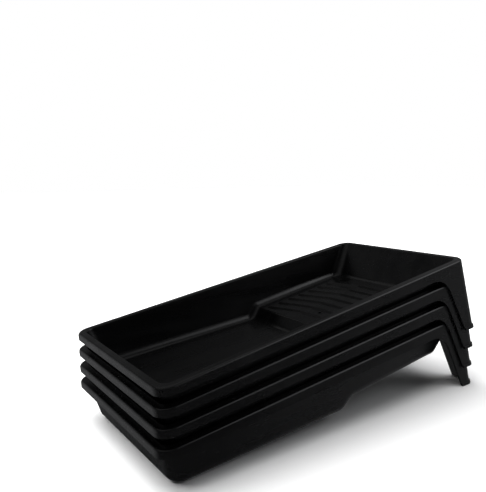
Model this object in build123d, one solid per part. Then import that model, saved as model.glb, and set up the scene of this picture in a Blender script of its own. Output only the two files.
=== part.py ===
"""Four mini paint roller trays, nested in a stack.

Every tray is one thin moulding: a pan with a deep well and a ribbed ramp, a flat lip, a skirt hanging
from the lip, and two corner legs at the ramp end that are part of the skirt. A tray is drawn in its
own frame, with X from the outer edge of the rim at the deep end to the one at the leg end, Y across
and Z up from the top of the lip. The finished stack stands on z = 0 and is centred on the origin.
"""
import os
from math import asin, atan2, cos, degrees, hypot, radians, tan

from build123d import *

# ---- Driving dimensions, in mm and degrees ----
LENGTH = 311.0
WIDTH = 153.6
WALL = 1.5

# Lip and skirt
LIP = 6.0
RIM_RADIUS = 11.0
RIM_EDGE = 2.0
SKIRT_START_DEPTH = 5.4
SKIRT_END_DEPTH = 10.0
SIDE_FLARE = 6.2
DEEP_END_FLARE = 2.0
LEG_END_FLARE = 1.8

# Pan walls
MOUTH_RADIUS = 7.0
BASE_RADIUS = 13.0
MOUTH_EDGE = 1.1
SIDE_DRAFT = 10.0
DEEP_END_DRAFT = 9.0
LEG_END_DRAFT = 39.0

# Pan bed: the well's floor, the step and the ramp
WELL_START_DEPTH = 31.0
WELL_STEP_DEPTH = 41.0
STEP_FOOT_X = 161.0
STEP_TOP_X = 171.0
RAMP_LOW_DEPTH = 32.0
RAMP_TOP_DEPTH = 30.0
RAMP_TOP_X = 284.0
STEP_FOOT_FILLET = 9.0
STEP_TOP_FILLET = 3.5
BED_FILLET = 7.0

# Legs
FOOT_DEPTH = 65.5
LEG_TOP_X = 277.0
LEG_FOOT_X = 295.0
LEG_TOP_HALF_GAP = 40.0
LEG_FOOT_HALF_GAP = 61.0
ARCH_RADIUS = 22.0
TOE_HEIGHT = 2.2
TOE_REACH = 1.0

# Ribs on the ramp
RIB_COUNT = 7
RIB_PITCH = 13.1
FIRST_RIB_X = 268.0
RIB_FLAT_HALF = 16.6
RIB_HALF_SPAN = 54.0
RIB_SWEEP = 14.0
RIB_WIDTH = 4.6
RIB_HEIGHT = 1.4
RIB_DRAFT = 45.0

# Marks that the mould leaves in the pan: round ejector pins and the gates
PIN_RADIUS = 5.2
PIN_HEIGHT = 0.3
PIN_PLACES = ((271.0, -49.0), (275.0, 46.0), (33.0, 42.0))
GATE_RADIUS = 1.3
GATE_HEIGHT = 0.8
GATE_PLACES = ((195.0, 0.0), (146.0, 0.0))

# Stack
TRAY_NAMES = ("bottom_tray", "second_tray", "third_tray", "top_tray")
NEST_PITCH = 13.0
NEST_TILT = 0.9

# Working sizes, past the far side of whatever they cut
PAN_DEPTH = 60.0
SKIRT_REACH = 80.0
FAR = 400.0


def plan_rectangle(x_low, x_high, half_width, radius, z):
    """A level rounded rectangle between two X stations."""
    return Pos((x_low + x_high) / 2, 0, z) * RectangleRounded(x_high - x_low, 2 * half_width, radius)


def spread(angle, depth):
    """How far a wall that leans by the angle moves over a depth."""
    return tan(radians(angle)) * depth


def well_depth(x):
    """Depth of the well's floor below the lip."""
    return WELL_START_DEPTH + (WELL_STEP_DEPTH - WELL_START_DEPTH) * x / STEP_FOOT_X


def ramp_depth(x):
    """Depth of the ramp below the lip."""
    slope = (RAMP_TOP_DEPTH - RAMP_LOW_DEPTH) / (RAMP_TOP_X - STEP_TOP_X)
    return RAMP_LOW_DEPTH + slope * (x - STEP_TOP_X)


def skirt_depth(x):
    """Depth of the skirt's lower edge below the lip, which grows towards the legs."""
    return SKIRT_START_DEPTH + (SKIRT_END_DEPTH - SKIRT_START_DEPTH) * x / LENGTH


def vertex_near(section, x):
    """The section's vertex closest to an X station."""
    return section.vertices().sort_by(lambda v: abs(v.X - x))[0]


def bed_prism(grow):
    """The space above the bed, across the whole width: well floor, step, ramp."""
    corners = (
        (-FAR, FAR),
        (-FAR, -well_depth(-FAR)),
        (STEP_FOOT_X, -WELL_STEP_DEPTH),
        (STEP_TOP_X, -RAMP_LOW_DEPTH),
        (FAR, -ramp_depth(FAR)),
        (FAR, FAR),
    )
    section = make_face(Polyline(*corners, close=True))
    if grow:
        section = offset(section, amount=grow, kind=Kind.INTERSECTION)
    section = fillet(vertex_near(section, STEP_FOOT_X), STEP_FOOT_FILLET + grow)
    section = fillet(vertex_near(section, STEP_TOP_X), STEP_TOP_FILLET - grow)
    return extrude(Plane.XZ * section, amount=FAR, both=True)


def pan(grow=0.0):
    """The pan's cavity or, grown by the wall, the pan's outer skin."""
    x_low, x_high, half = LIP - grow, LENGTH - LIP + grow, WIDTH / 2 - LIP + grow
    mouth = plan_rectangle(x_low, x_high, half, MOUTH_RADIUS + grow, 0)
    base = plan_rectangle(
        x_low + spread(DEEP_END_DRAFT, PAN_DEPTH),
        x_high - spread(LEG_END_DRAFT, PAN_DEPTH),
        half - spread(SIDE_DRAFT, PAN_DEPTH),
        BASE_RADIUS + grow,
        -PAN_DEPTH,
    )
    body = loft([mouth, base], ruled=True) & bed_prism(grow)
    wall_foot = body.edges().filter_by(GeomType.BSPLINE)
    return fillet(wall_foot, BED_FILLET + grow)


def bell(grow=0.0, top=0.0):
    """The solid inside the skirt's outer face, or grown from it, from a level down past the feet."""
    def outline(depth):
        return plan_rectangle(
            -spread(DEEP_END_FLARE, depth) - grow,
            LENGTH + spread(LEG_END_FLARE, depth) + grow,
            WIDTH / 2 + spread(SIDE_FLARE, depth) + grow,
            RIM_RADIUS + grow,
            -depth,
        )

    return loft([outline(top), outline(SKIRT_REACH)], ruled=True)


def arch(inner_top, inner_foot, top_depth, start, start_depth):
    """Outline of the space under a skirt and beside a leg, with the leg's inner edge on the right."""
    lean = (inner_foot - inner_top) / (FOOT_DEPTH - top_depth)
    corners = (
        (start, -start_depth),
        (inner_top, -top_depth),
        (inner_top + lean * (FAR - top_depth), -FAR),
        (start, -FAR),
    )
    section = make_face(Polyline(*corners, close=True))
    return fillet(vertex_near(section, inner_top), ARCH_RADIUS)


def side_cut():
    """What is taken out under the skirt at the deep end and along both sides."""
    section = arch(LEG_TOP_X, LEG_FOOT_X, skirt_depth(LEG_TOP_X), -LENGTH, skirt_depth(-LENGTH))
    return extrude(Plane.XZ * section, amount=FAR, both=True)


def end_cut():
    """What is taken out between the two legs, through the leg end only."""
    section = arch(LEG_TOP_HALF_GAP, LEG_FOOT_HALF_GAP, SKIRT_END_DEPTH, 0, SKIRT_END_DEPTH)
    half = extrude(Plane.YZ * section, amount=FAR)
    return Pos(LENGTH / 2, 0, 0) * (half + mirror(half, Plane.XZ))


def deep_end_round():
    """Centre of the rounding where the deep end's wall meets the well's floor: X station and depth."""
    slope = (WELL_STEP_DEPTH - WELL_START_DEPTH) / STEP_FOOT_X
    floor_offset = BED_FILLET * hypot(1, slope)
    wall_x = LIP + BED_FILLET / cos(radians(DEEP_END_DRAFT))
    depth = well_depth(wall_x) - floor_offset
    depth /= 1 - slope * tan(radians(DEEP_END_DRAFT))
    return wall_x + spread(DEEP_END_DRAFT, depth), depth


def floor_tilt():
    """How far the lip leans when the rounded deep end and the feet stand on one level floor."""
    x, depth = deep_end_round()
    run, drop = LENGTH - x, FOOT_DEPTH - depth
    return degrees(atan2(drop, run) - asin((BED_FILLET + WALL) / hypot(run, drop)))


def above_floor(height):
    """The space above a plane that lies a height above the floor, in the tray's frame."""
    block = Pos(0, 0, FAR) * Box(4 * FAR, 4 * FAR, 2 * FAR)
    return Pos(LENGTH, 0, -FOOT_DEPTH) * Rot(0, floor_tilt(), 0) * Pos(0, 0, height) * block


def skirt_and_legs():
    """Lip, skirt and legs: a flared shell, cut to arches and cut off level at the feet."""
    outer = bell()
    outer = fillet(outer.edges().group_by(Axis.Z)[-1], RIM_EDGE)
    toes = bell(TOE_REACH) - above_floor(TOE_HEIGHT)
    shell = outer + toes - bell(-WALL, WALL)
    return (shell - side_cut() - end_cut()) & above_floor(0)


def rib(index):
    """One chevron rib, its middle straight across and its ends swept back towards the well."""
    x = FIRST_RIB_X - index * RIB_PITCH
    swept = tan(radians(RIB_SWEEP)) * (RIB_HALF_SPAN - RIB_FLAT_HALF)
    upper = (
        (x - swept, -RIB_HALF_SPAN),
        (x, -RIB_FLAT_HALF),
        (x, RIB_FLAT_HALF),
        (x - swept, RIB_HALF_SPAN),
    )
    lower = [(px - RIB_WIDTH, py) for px, py in reversed(upper)]
    face = make_face(Polyline(*upper, *lower, close=True))
    return extrude(face, amount=RIB_HEIGHT, taper=RIB_DRAFT)


def on_ramp(solid):
    """A solid drawn on the plane z = 0, laid on the ramp."""
    slope = degrees(atan2(RAMP_LOW_DEPTH - RAMP_TOP_DEPTH, RAMP_TOP_X - STEP_TOP_X))
    return Pos(STEP_TOP_X, 0, -RAMP_LOW_DEPTH) * Rot(0, -slope, 0) * Pos(-STEP_TOP_X, 0, 0) * solid


def mould_mark(place, radius, height):
    """A low round mark standing on the bed, rooted in the wall under it."""
    x, y = place
    depth = ramp_depth(x) if x > STEP_TOP_X else well_depth(x)
    return Pos(x, y, -depth + (height - WALL) / 2) * Cylinder(radius, height + WALL)


def tray():
    """One whole tray in its own frame."""
    body = skirt_and_legs() + pan(WALL) - pan()
    lip_edges = body.edges().group_by(Axis.Z)[-1]
    body = fillet([e for e in lip_edges if e.geom_type != GeomType.BSPLINE], MOUTH_EDGE)
    for index in range(RIB_COUNT):
        body += on_ramp(rib(index))
    for place in PIN_PLACES:
        body += mould_mark(place, PIN_RADIUS, PIN_HEIGHT)
    for place in GATE_PLACES:
        body += mould_mark(place, GATE_RADIUS, GATE_HEIGHT)
    return body


def stack():
    """The nested trays from the bottom up, each lifted and leaning a little more than the one below."""
    single = tray()
    nested = [
        Pos(0, 0, n * NEST_PITCH) * Rot(0, -floor_tilt() - n * NEST_TILT, 0) * single
        for n in range(len(TRAY_NAMES))
    ]
    box = Compound(nested).bounding_box()
    middle = (box.min.X + box.max.X) / 2
    return [Pos(-middle, 0, -box.min.Z) * copy for copy in nested]


os.makedirs("parts", exist_ok=True)
for name, solid in zip(TRAY_NAMES, stack()):
    export_step(solid, f"parts/{name}.step")
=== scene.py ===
import math
import bpy
from mathutils import Matrix, Vector


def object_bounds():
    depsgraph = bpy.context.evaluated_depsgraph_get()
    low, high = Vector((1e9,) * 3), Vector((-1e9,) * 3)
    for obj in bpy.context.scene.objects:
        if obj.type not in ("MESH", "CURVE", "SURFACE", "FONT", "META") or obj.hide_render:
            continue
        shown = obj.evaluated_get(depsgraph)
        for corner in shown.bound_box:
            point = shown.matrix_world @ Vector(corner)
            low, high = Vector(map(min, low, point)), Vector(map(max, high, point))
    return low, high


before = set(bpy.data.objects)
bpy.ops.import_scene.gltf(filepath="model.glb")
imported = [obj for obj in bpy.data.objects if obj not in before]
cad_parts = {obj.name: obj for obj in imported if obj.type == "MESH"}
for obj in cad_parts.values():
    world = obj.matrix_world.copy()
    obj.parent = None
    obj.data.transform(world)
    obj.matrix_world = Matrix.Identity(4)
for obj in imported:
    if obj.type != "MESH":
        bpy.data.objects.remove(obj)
cad_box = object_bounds()
scene = bpy.context.scene

low, high = [Vector(corner) for corner in cad_box]
middle = (low + high) / 2

TRAYS = ("bottom_tray", "second_tray", "third_tray", "top_tray")

# Darkest, usual and scuffed shades of the plastic
DARK_SHADE = (0.0030, 0.0030, 0.0033, 1)
PLAIN_SHADE = (0.0056, 0.0056, 0.0060, 1)
SCUFF_SHADE = (0.011, 0.011, 0.0115, 1)
PLASTIC_IOR = 1.49

# Floor, in metres; it glows more with distance from the tray, painted light that keeps the
# far floor white
FLOOR_HALF = 6.0
FLOOR_GAP = 0.0002
FLOOR_SHADE = (0.90, 0.90, 0.90, 1)
FLOOR_GLOW_START, FLOOR_GLOW_FULL, FLOOR_GLOW = 0.35, 1.6, 0.9

# What the plastic reflects: a dim room with soft zones, as (axis, start, full, strength)
ROOM_GLOW = 0.03
ROOM_TINT = (0.97, 0.98, 1.0, 1)
GLOW_ZONES = (
    ((-0.64, 0.76, -0.08), 0.70, 0.97, 0.34),
    ((1, 0, -0.1), 0.45, 0.95, 0.14),
    ((0.1, 1, 0.1), 0.80, 1.0, 0.09),
    ((0.6, 0.2, 0.75), 0.80, 0.97, 0.17),
    ((0.62, -0.50, 0.60), 0.90, 0.98, 1.3),
)

# Camera: angles in degrees, place in metres, lens in mm
HEADING, DIP, ROLL = 52.79, 7.84, 0.36
CAMERA_PLACE = (-0.2856, -0.3474, 0.1951)
LENS, SENSOR = 38.706, 36.0
SHIFT_X, SHIFT_Y = -0.0509, 0.0023


# ---------- black polypropylene ----------

def node(tree, kind, place, **values):
    made = tree.nodes.new(kind)
    made.location = place
    for name, value in values.items():
        setattr(made, name, value)
    return made


def spread_noise(tree, source, stretch, detail, rough, place):
    """Noise with a scale of its own along each axis, in cycles per metre."""
    mapping = node(tree, "ShaderNodeMapping", (place[0] - 200, place[1]))
    mapping.inputs["Scale"].default_value = stretch
    tree.links.new(source, mapping.inputs["Vector"])
    noise = node(tree, "ShaderNodeTexNoise", place)
    noise.inputs["Scale"].default_value = 1.0
    noise.inputs["Detail"].default_value = detail
    noise.inputs["Roughness"].default_value = rough
    tree.links.new(mapping.outputs["Vector"], noise.inputs["Vector"])
    return noise.outputs["Fac"]


def remap(tree, source, from_low, from_high, to_low, to_high, place):
    ranged = node(tree, "ShaderNodeMapRange", place, clamp=True)
    for name, value in (("From Min", from_low), ("From Max", from_high),
                        ("To Min", to_low), ("To Max", to_high)):
        ranged.inputs[name].default_value = value
    tree.links.new(source, ranged.inputs["Value"])
    return ranged.outputs["Result"]


def combine(tree, operation, first, second, place):
    maths = node(tree, "ShaderNodeMath", place, operation=operation)
    for socket, value in zip(maths.inputs, (first, second)):
        if isinstance(value, (int, float)):
            socket.default_value = value
        else:
            tree.links.new(value, socket)
    return maths.outputs["Value"]


def bump(tree, height, strength, distance, below, place):
    made = node(tree, "ShaderNodeBump", place)
    made.inputs["Strength"].default_value = strength
    made.inputs["Distance"].default_value = distance
    tree.links.new(height, made.inputs["Height"])
    if below is not None:
        tree.links.new(below, made.inputs["Normal"])
    return made.outputs["Normal"]


def black_polypropylene():
    material = bpy.data.materials.new("black_polypropylene")
    material.use_nodes = True
    tree = material.node_tree
    shader = tree.nodes["Principled BSDF"]
    where = node(tree, "ShaderNodeTexCoord", (-1500, 0)).outputs["Object"]

    flow = spread_noise(tree, where, (5, 70, 70), 4, 0.6, (-1000, 400))
    cloud = spread_noise(tree, where, (22, 22, 22), 3, 0.5, (-1000, 150))
    peel = spread_noise(tree, where, (650, 650, 650), 2, 0.5, (-1000, -100))
    scuff = spread_noise(tree, where, (90, 900, 900), 3, 0.7, (-1000, -350))
    waves = spread_noise(tree, where, (9, 38, 30), 1, 0.4, (-1000, -600))

    scuffed = remap(tree, scuff, 0.66, 0.80, 0.0, 1.0, (-750, -350))
    gloss = remap(tree, flow, 0.30, 0.70, 0.19, 0.31, (-750, 400))
    matt = remap(tree, cloud, 0.35, 0.70, 0.0, 0.07, (-750, 150))
    rough = combine(tree, "ADD", gloss, matt, (-550, 300))
    worn = combine(tree, "MULTIPLY", scuffed, 0.12, (-550, 100))
    rough = combine(tree, "ADD", rough, worn, (-350, 200))
    tree.links.new(rough, shader.inputs["Roughness"])

    tint = combine(tree, "MULTIPLY", flow, cloud, (-750, 600))
    shade = node(tree, "ShaderNodeValToRGB", (-550, 600))
    ramp = shade.color_ramp
    ramp.elements[0].position, ramp.elements[0].color = 0.12, DARK_SHADE
    ramp.elements[1].position, ramp.elements[1].color = 0.42, PLAIN_SHADE
    tree.links.new(tint, shade.inputs["Fac"])
    lighter = node(tree, "ShaderNodeMix", (-250, 600), data_type="RGBA")
    tree.links.new(scuffed, lighter.inputs["Factor"])
    tree.links.new(shade.outputs["Color"], lighter.inputs["A"])
    lighter.inputs["B"].default_value = SCUFF_SHADE
    tree.links.new(lighter.outputs["Result"], shader.inputs["Base Color"])

    normal = bump(tree, waves, 0.35, 0.0012, None, (-550, -600))
    normal = bump(tree, flow, 0.25, 0.0004, normal, (-400, -500))
    normal = bump(tree, peel, 0.20, 0.00006, normal, (-250, -400))
    normal = bump(tree, scuffed, 0.15, 0.00003, normal, (-100, -300))
    tree.links.new(normal, shader.inputs["Normal"])
    shader.inputs["IOR"].default_value = PLASTIC_IOR
    return material


plastic = black_polypropylene()
for name in TRAYS:
    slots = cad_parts[name].data.materials
    for index in range(len(slots)):
        slots[index] = plastic


# ---------- pale floor ----------

def pale_floor():
    mesh = bpy.data.meshes.new("floor")
    signs = ((-1, -1), (1, -1), (1, 1), (-1, 1))
    corners = [(x * FLOOR_HALF, y * FLOOR_HALF, low.z - FLOOR_GAP) for x, y in signs]
    mesh.from_pydata(corners, [], [(0, 1, 2, 3)])
    floor = bpy.data.objects.new("floor", mesh)
    scene.collection.objects.link(floor)
    material = bpy.data.materials.new("pale_floor")
    material.use_nodes = True
    tree = material.node_tree
    shader = tree.nodes["Principled BSDF"]
    shader.inputs["Base Color"].default_value = FLOOR_SHADE
    shader.inputs["Roughness"].default_value = 0.9
    shader.inputs["Specular IOR Level"].default_value = 0.0
    shader.inputs["Emission Color"].default_value = (1, 1, 1, 1)
    where = node(tree, "ShaderNodeTexCoord", (-900, 0)).outputs["Object"]
    reach = node(tree, "ShaderNodeVectorMath", (-700, 0), operation="LENGTH")
    tree.links.new(where, reach.inputs[0])
    # Painted light: the floor's glow is zero near the tray and grows to full strength
    # further out, brightening the far floor
    glow = remap(tree, reach.outputs["Value"], FLOOR_GLOW_START, FLOOR_GLOW_FULL,
                 0.0, FLOOR_GLOW, (-500, 0))
    tree.links.new(glow, shader.inputs["Emission Strength"])
    mesh.materials.append(material)
    floor.visible_glossy = False
    return floor


floor = pale_floor()


# ---------- studio light ----------

def softbox(name, place, size, power, only=None):
    light = bpy.data.lights.new(name, "AREA")
    light.shape = "RECTANGLE"
    light.size, light.size_y = size
    light.energy = power
    lamp = bpy.data.objects.new(name, light)
    lamp.location = middle + Vector(place)
    lamp.rotation_euler = (middle - lamp.location).to_track_quat("-Z", "Y").to_euler()
    lamp.visible_camera = False
    scene.collection.objects.link(lamp)
    if only is not None:
        lit = bpy.data.collections.new(name + "_lights")
        lit.objects.link(only)
        lamp.light_linking.receiver_collection = lit


softbox("overhead", (-0.5, 0.6, 2.4), (3.6, 2.6), 7)
softbox("floor_wash", (-0.4, 0.5, 1.6), (2.4, 2.4), 88, only=floor)


def glow_towards(tree, source, axis, start, full, strength, place):
    """Light that grows as a direction turns towards an axis."""
    facing = node(tree, "ShaderNodeVectorMath", place, operation="DOT_PRODUCT")
    facing.inputs[1].default_value = Vector(axis).normalized()
    tree.links.new(source, facing.inputs[0])
    eased = node(tree, "ShaderNodeMapRange", (place[0] + 200, place[1]),
                 interpolation_type="SMOOTHSTEP")
    for name, value in (("From Min", start), ("From Max", full),
                        ("To Min", 0.0), ("To Max", strength)):
        eased.inputs[name].default_value = value
    tree.links.new(facing.outputs["Value"], eased.inputs["Value"])
    return eased.outputs["Result"]


def surroundings():
    world = bpy.data.worlds.new("studio")
    world.use_nodes = True
    tree = world.node_tree
    tree.nodes.clear()
    towards = node(tree, "ShaderNodeTexCoord", (-1200, -200)).outputs["Generated"]
    total = ROOM_GLOW
    for index, (axis, start, full, strength) in enumerate(GLOW_ZONES):
        level = -200 * index
        zone = glow_towards(tree, towards, axis, start, full, strength, (-1000, level))
        total = combine(tree, "ADD", zone, total, (-600, level))
    seen = node(tree, "ShaderNodeBackground", (-200, 100))
    seen.inputs["Color"].default_value = (1, 1, 1, 1)
    around = node(tree, "ShaderNodeBackground", (-200, -100))
    around.inputs["Color"].default_value = ROOM_TINT
    tree.links.new(total, around.inputs["Strength"])
    path = node(tree, "ShaderNodeLightPath", (-200, 400))
    either = node(tree, "ShaderNodeMixShader", (0, 0))
    out = node(tree, "ShaderNodeOutputWorld", (200, 0))
    tree.links.new(path.outputs["Is Camera Ray"], either.inputs["Fac"])
    tree.links.new(around.outputs["Background"], either.inputs[1])
    tree.links.new(seen.outputs["Background"], either.inputs[2])
    tree.links.new(either.outputs["Shader"], out.inputs["Surface"])
    scene.world = world


surroundings()
scene.view_settings.view_transform = "Standard"


# ---------- camera ----------

def photographer():
    heading, dip, roll = math.radians(HEADING), math.radians(DIP), math.radians(ROLL)
    level = Vector((math.cos(heading), math.sin(heading), 0))
    ahead = math.cos(dip) * level - Vector((0, 0, math.sin(dip)))
    right = ahead.cross(Vector((0, 0, 1))).normalized()
    down = ahead.cross(right)
    right, down = (math.cos(roll) * right + math.sin(roll) * down,
                   math.cos(roll) * down - math.sin(roll) * right)
    data = bpy.data.cameras.new("camera")
    data.sensor_fit = "AUTO"
    data.sensor_width = SENSOR
    data.lens = LENS
    data.shift_x, data.shift_y = SHIFT_X, SHIFT_Y
    data.clip_start, data.clip_end = 0.01, 50.0
    camera = bpy.data.objects.new("camera", data)
    turn = Matrix((right, -down, -ahead)).transposed().to_4x4()
    camera.matrix_world = Matrix.Translation(CAMERA_PLACE) @ turn
    scene.collection.objects.link(camera)
    scene.camera = camera


photographer()
